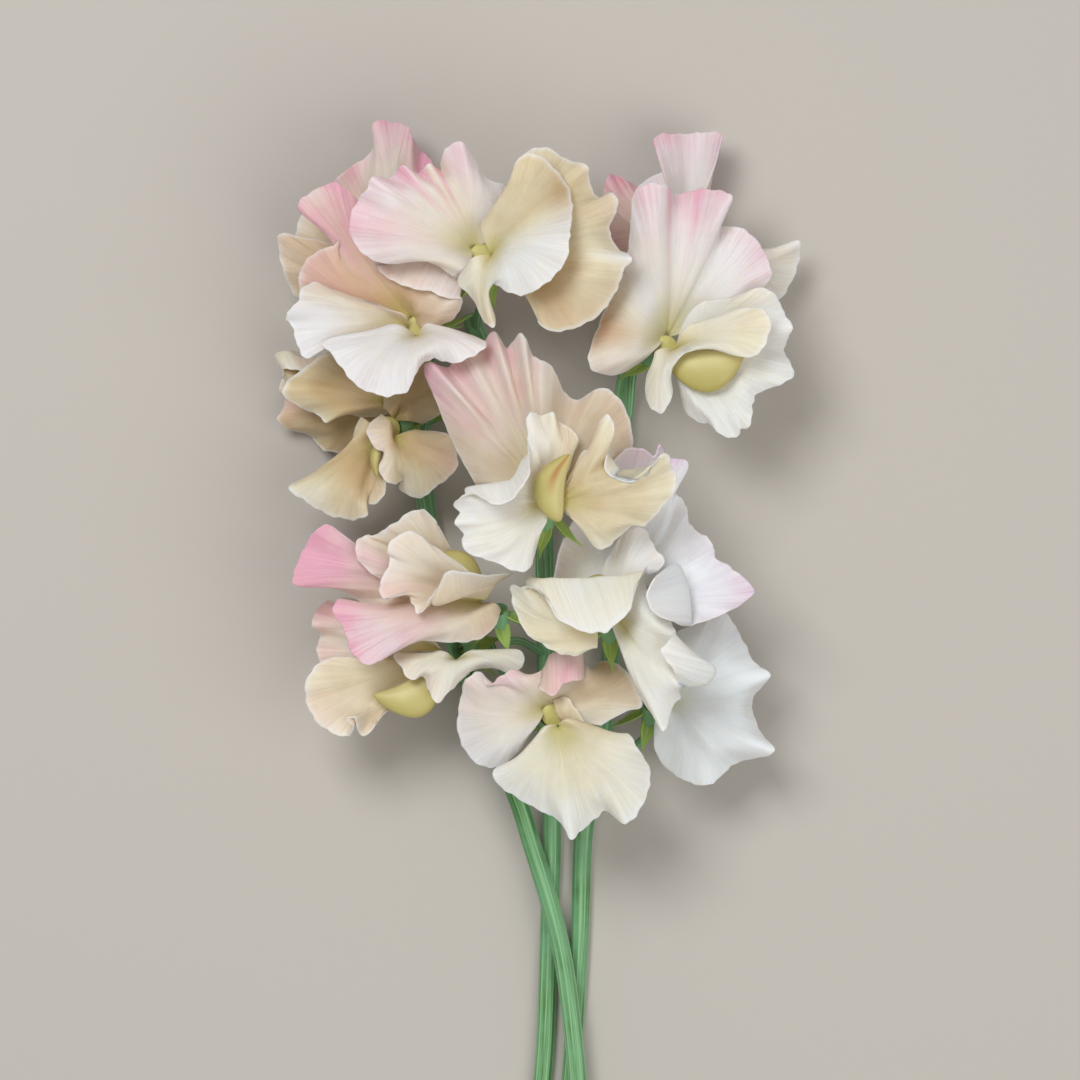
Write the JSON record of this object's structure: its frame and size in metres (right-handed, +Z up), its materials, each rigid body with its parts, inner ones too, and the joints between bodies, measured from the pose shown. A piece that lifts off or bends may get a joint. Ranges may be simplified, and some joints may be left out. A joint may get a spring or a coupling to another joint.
{
  "type": "sweet pea flower",
  "caption": "Lying bunch of cut sweet pea stems with ruffled cream and blush blooms: broad standard petals, paired wings and small keels on green stalks.",
  "frame": {"origin": "centre of the bunch's bounding box, on the table that it lies on", "axes": "+Z up from the table, +Y along the stems toward the blooms, +X to the right seen from above"},
  "size_m": [0.1185, 0.2572, 0.0643],
  "materials": {
    "petal_cream": "soft velvety petal, cream with a faint blush at the rim",
    "petal_blush": "soft velvety petal, cream with a pink rim",
    "petal_white": "soft velvety petal, cool white",
    "keel": "smooth pale yellow-green petal",
    "stem_green": "smooth, faintly waxy green"
  },
  "bodies": {
    "root": {"bloom_01_keel": "keel", "bloom_01_standard": "petal_blush", "bloom_01_wing_back": "petal_blush", "bloom_01_wing_front": "petal_blush", "bloom_02_keel": "keel", "bloom_02_standard": "petal_cream", "bloom_02_wing_back": "petal_cream", "bloom_02_wing_front": "petal_cream", "bloom_03_keel": "keel", "bloom_03_standard": "petal_blush", "bloom_03_wing_back": "petal_blush", "bloom_03_wing_front": "petal_blush", "bloom_04_keel": "keel", "bloom_04_standard": "petal_cream", "bloom_04_wing_back": "petal_cream", "bloom_04_wing_front": "petal_cream", "bloom_05_keel": "keel", "bloom_05_standard": "petal_cream", "bloom_05_wing_back": "petal_cream", "bloom_05_wing_front": "petal_cream", "bloom_06_keel": "keel", "bloom_06_standard": "petal_cream", "bloom_06_wing_back": "petal_cream", "bloom_06_wing_front": "petal_cream", "bloom_07_keel": "keel", "bloom_07_standard": "petal_white", "bloom_07_wing_back": "petal_white", "bloom_07_wing_front": "petal_white", "bloom_08_keel": "keel", "bloom_08_standard": "petal_blush", "bloom_08_wing_back": "petal_blush", "bloom_08_wing_front": "petal_blush", "bloom_09_keel": "keel", "bloom_09_standard": "petal_cream", "bloom_09_wing_back": "petal_cream", "bloom_09_wing_front": "petal_cream", "bloom_10_keel": "keel", "bloom_10_standard": "petal_cream", "bloom_10_wing_back": "petal_cream", "bloom_10_wing_front": "petal_cream", "bloom_11_keel": "keel", "bloom_11_standard": "petal_white", "bloom_11_wing_back": "petal_white", "bloom_11_wing_front": "petal_white", "bloom_12_keel": "keel", "bloom_12_standard": "petal_cream", "bloom_12_wing_back": "petal_cream", "bloom_12_wing_front": "petal_cream", "bloom_13_keel": "keel", "bloom_13_standard": "petal_blush", "bloom_13_wing_back": "petal_blush", "bloom_13_wing_front": "petal_blush", "stem_left": "stem_green", "stem_middle": "stem_green", "stem_right": "stem_green"}
  },
  "joints": []
}
